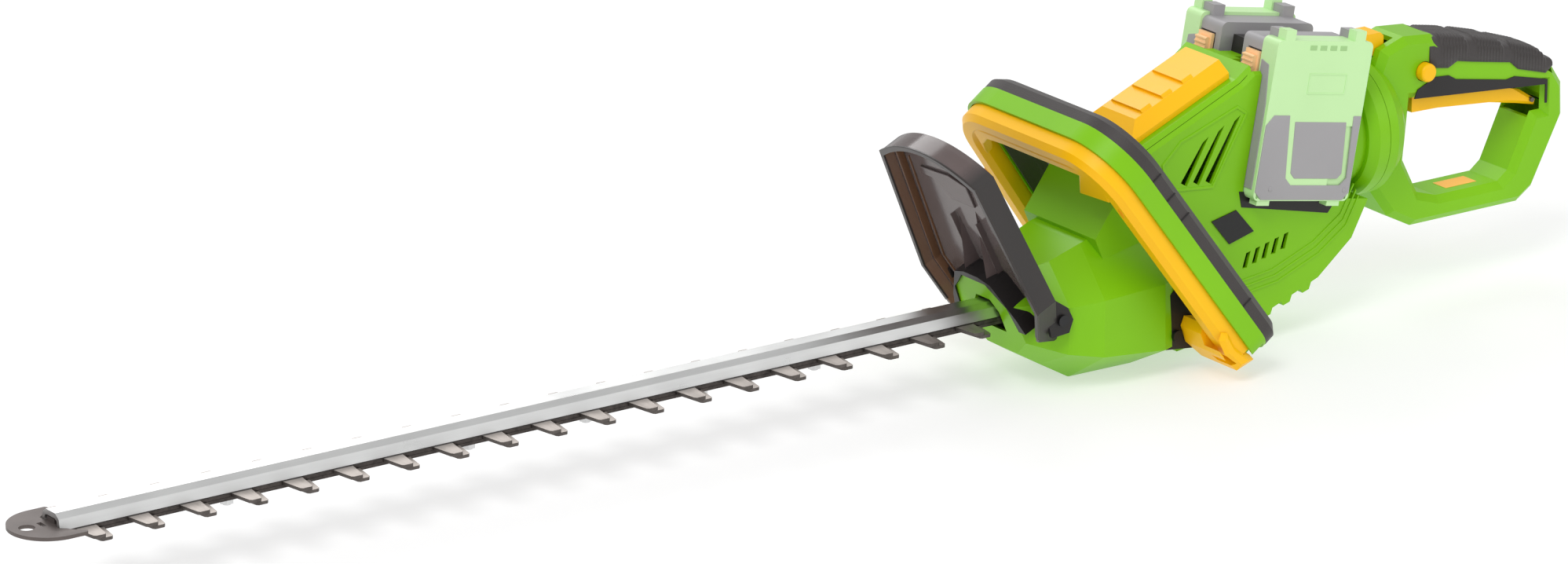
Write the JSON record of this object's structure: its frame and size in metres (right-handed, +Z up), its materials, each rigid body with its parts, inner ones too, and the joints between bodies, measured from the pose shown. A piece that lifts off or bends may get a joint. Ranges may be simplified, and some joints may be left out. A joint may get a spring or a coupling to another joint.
{
  "type": "cordless hedge trimmer",
  "caption": "Cordless hedge trimmer: reciprocating toothed blades under a guide bar, faceted drive casing, front bail handle, slide-in battery packs and a rotating rear handle.",
  "frame": {"origin": "centre of the gear housing's flat bottom on the floor, directly under the drive gear's axis", "axes": "+X along the blade towards its tip, +Y the tool's left, +Z up; the blades are level"},
  "size_m": [1.1205, 0.1818, 0.2031],
  "materials": {
    "lime_plastic": "fine satin moulded texture, lime green",
    "yellow_plastic": "fine satin moulded texture, warm yellow",
    "soft_grip": "dull soft overmould",
    "black_plastic": "satin moulded black",
    "label_black": "smooth blank plate",
    "smoke_plastic": "glossy smoke-brown translucent plastic",
    "bar_aluminium": "brushed lengthwise",
    "blade_steel": "ground steel with dark edges",
    "dark_steel": "dark blackened steel",
    "bolt_steel": "bright zinc-plated steel",
    "black_screw": "black oxide screws",
    "contact_brass": "plain brass contacts",
    "board": "lacquered circuit board",
    "felt": "pressed felt",
    "pack_grey": "pale grey satin",
    "pack_green": "pale green satin",
    "pack_latch": "pale peach satin",
    "cell_can": null
  },
  "bodies": {
    "body": {"left_shell": "lime_plastic", "right_shell": "lime_plastic", "top_cover": "yellow_plastic", "battery_dock": "black_plastic", "dock_terminals": "contact_brass", "label_plates": "label_black", "shell_screws": "black_screw", "gearcase_plate": "bar_aluminium", "gearcase_cover": "bar_aluminium", "gear_bearings": "bolt_steel", "bar_bolts": "bolt_steel", "motor_can": "bolt_steel", "motor_end_cap": "black_plastic", "guide_bar": "bar_aluminium", "tip_guard": "dark_steel", "blade_bolts": "bolt_steel", "blade_nuts": "bolt_steel", "hand_guard": "smoke_plastic", "guard_frame": "black_plastic", "guard_screws": "black_screw", "bail_shell": "lime_plastic", "bail_grip": "soft_grip", "bail_hooks": "yellow_plastic", "bail_mounts": "black_plastic", "bail_screws": "black_screw", "bail_switch": "black_plastic", "bail_lever_springs": "bolt_steel", "controller_board": "board", "collar_ring": "lime_plastic", "nose_wiper": "felt"},
    "upper_blade": {"upper_blade": "blade_steel"},
    "lower_blade": {"lower_blade": "blade_steel"},
    "gear": {"drive_gear": "dark_steel", "gear_shaft": "bolt_steel"},
    "upper_rod": {"upper_conrod": "dark_steel"},
    "lower_rod": {"lower_conrod": "dark_steel"},
    "rotor": {"motor_shaft": "bolt_steel", "motor_rotor": "bolt_steel", "motor_fan": "black_plastic"},
    "bail_lever": {"bail_lever": "yellow_plastic"},
    "handle": {"handle_left_shell": "lime_plastic", "handle_right_shell": "lime_plastic", "handle_grip": "soft_grip", "handle_trim": "black_plastic", "handle_screws": "black_screw", "trigger_pin": "bolt_steel", "trigger_switch": "black_plastic", "trigger_spring": "bolt_steel"},
    "trigger": {"trigger": "yellow_plastic"},
    "lock_button": {"lock_off_button": "yellow_plastic"},
    "rotation_button": {"rotation_button": "yellow_plastic"},
    "left_pack": {"left_battery_case": "pack_grey", "left_battery_cover": "pack_green", "left_battery_cells": "cell_can"},
    "left_latch": {"left_battery_latch": "pack_latch"},
    "right_pack": {"right_battery_case": "pack_grey", "right_battery_cover": "pack_green", "right_battery_cells": "cell_can"},
    "right_latch": {"right_battery_latch": "pack_latch"}
  },
  "joints": [
    {"name": "gear_spin", "type": "hinge", "parent": "body", "child": "gear", "pos_m": [0, 0, 0.04], "axis": [0, 0, 1], "continuous": true},
    {"name": "motor_spin", "type": "hinge", "parent": "body", "child": "rotor", "pos_m": [-0.035, 0, 0.05], "axis": [0, 0, 1], "continuous": true},
    {"name": "upper_rod_turn", "type": "hinge", "parent": "gear", "child": "upper_rod", "pos_m": [0.00225, 0.00331, 0.05], "axis": [0, 0, 1], "continuous": true},
    {"name": "lower_rod_turn", "type": "hinge", "parent": "gear", "child": "lower_rod", "pos_m": [-0.00225, -0.00331, 0.036], "axis": [0, 0, 1], "continuous": true},
    {"name": "upper_blade_slide", "type": "slide", "parent": "body", "child": "upper_blade", "axis": [1, 0, 0], "range_m": [-0.00625, 0.00175]},
    {"name": "lower_blade_slide", "type": "slide", "parent": "body", "child": "lower_blade", "axis": [1, 0, 0], "range_m": [-0.00175, 0.00625]},
    {"name": "bail_squeeze", "type": "slide", "parent": "body", "child": "bail_lever", "axis": [-0.809, 0, 0.5878], "range_m": [0, 0.004], "stiffness_N_per_m": 1500, "springref_m": -0.004},
    {"name": "handle_turn", "type": "hinge", "parent": "body", "child": "handle", "pos_m": [-0.2, 0, 0.116], "axis": [1, 0, 0], "range_deg": [-90, 90]},
    {"name": "trigger_pull", "type": "hinge", "parent": "handle", "child": "trigger", "pos_m": [-0.339, 0, 0.111], "axis": [0, -1, 0], "range_deg": [0, 4.5], "stiffness_Nm_per_rad": 0.6, "springref_deg": -5.73},
    {"name": "lock_off_press", "type": "slide", "parent": "handle", "child": "lock_button", "axis": [0, -1, 0], "range_m": [0, 0.004], "stiffness_N_per_m": 400, "springref_m": -0.003},
    {"name": "rotation_release_press", "type": "slide", "parent": "handle", "child": "rotation_button", "axis": [-1, 0, 0], "range_m": [0, 0.004], "stiffness_N_per_m": 400, "springref_m": -0.003},
    {"name": "left_pack_slide", "type": "slide", "parent": "body", "child": "left_pack", "axis": [-0.1822, 0, 0.9833], "range_m": [0, 0.11]},
    {"name": "right_pack_slide", "type": "slide", "parent": "body", "child": "right_pack", "axis": [-0.1822, 0, 0.9833], "range_m": [0, 0.11]},
    {"name": "left_latch_press", "type": "slide", "parent": "left_pack", "child": "left_latch", "axis": [-0.9833, 0, -0.1822], "range_m": [0, 0.002], "stiffness_N_per_m": 800, "springref_m": -0.002},
    {"name": "right_latch_press", "type": "slide", "parent": "right_pack", "child": "right_latch", "axis": [-0.9833, 0, -0.1822], "range_m": [0, 0.002], "stiffness_N_per_m": 800, "springref_m": -0.002}
  ],
  "couplings": [
    {"joint": "motor_spin", "follows": "gear_spin", "ratio": -6},
    {"joint": "upper_rod_turn", "follows": "gear_spin", "ratio": -1},
    {"joint": "lower_rod_turn", "follows": "gear_spin", "ratio": -1},
    {"joint": "lower_blade_slide", "follows": "upper_blade_slide", "ratio": -1}
  ]
}
